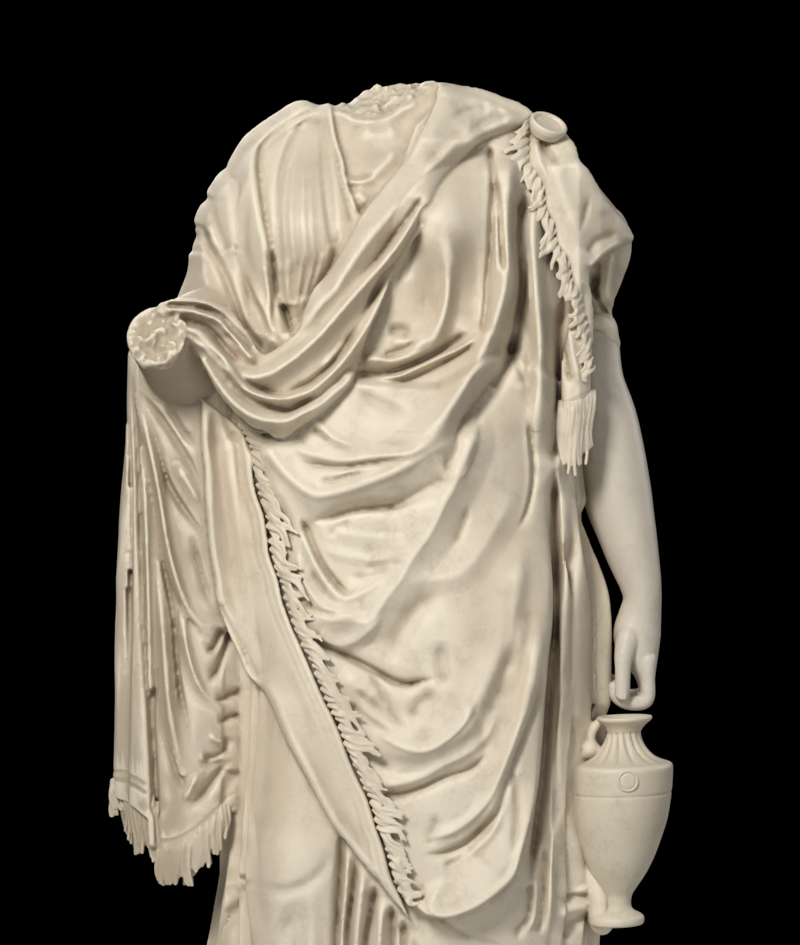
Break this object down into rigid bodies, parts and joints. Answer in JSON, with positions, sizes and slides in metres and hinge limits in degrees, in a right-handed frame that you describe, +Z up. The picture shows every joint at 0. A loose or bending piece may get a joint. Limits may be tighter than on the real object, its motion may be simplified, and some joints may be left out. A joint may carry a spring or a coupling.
{
  "type": "classical marble statue",
  "caption": "Headless marble statue of a draped standing woman with a fringed mantle, a broken right forearm and an urn at her left side, on a low plinth.",
  "frame": {"origin": "on the floor, under the middle of the statue's bounding box", "axes": "+Z up, the figure faces -Y, +X is to the viewer's right when facing her"},
  "size_m": [0.7185, 0.4116, 1.578],
  "materials": {
    "marble": "aged ivory marble, smooth on the skin and the high folds, with grey-brown grime and drill marks in the creases"
  },
  "bodies": {
    "root": {"statue": "marble"}
  },
  "joints": []
}
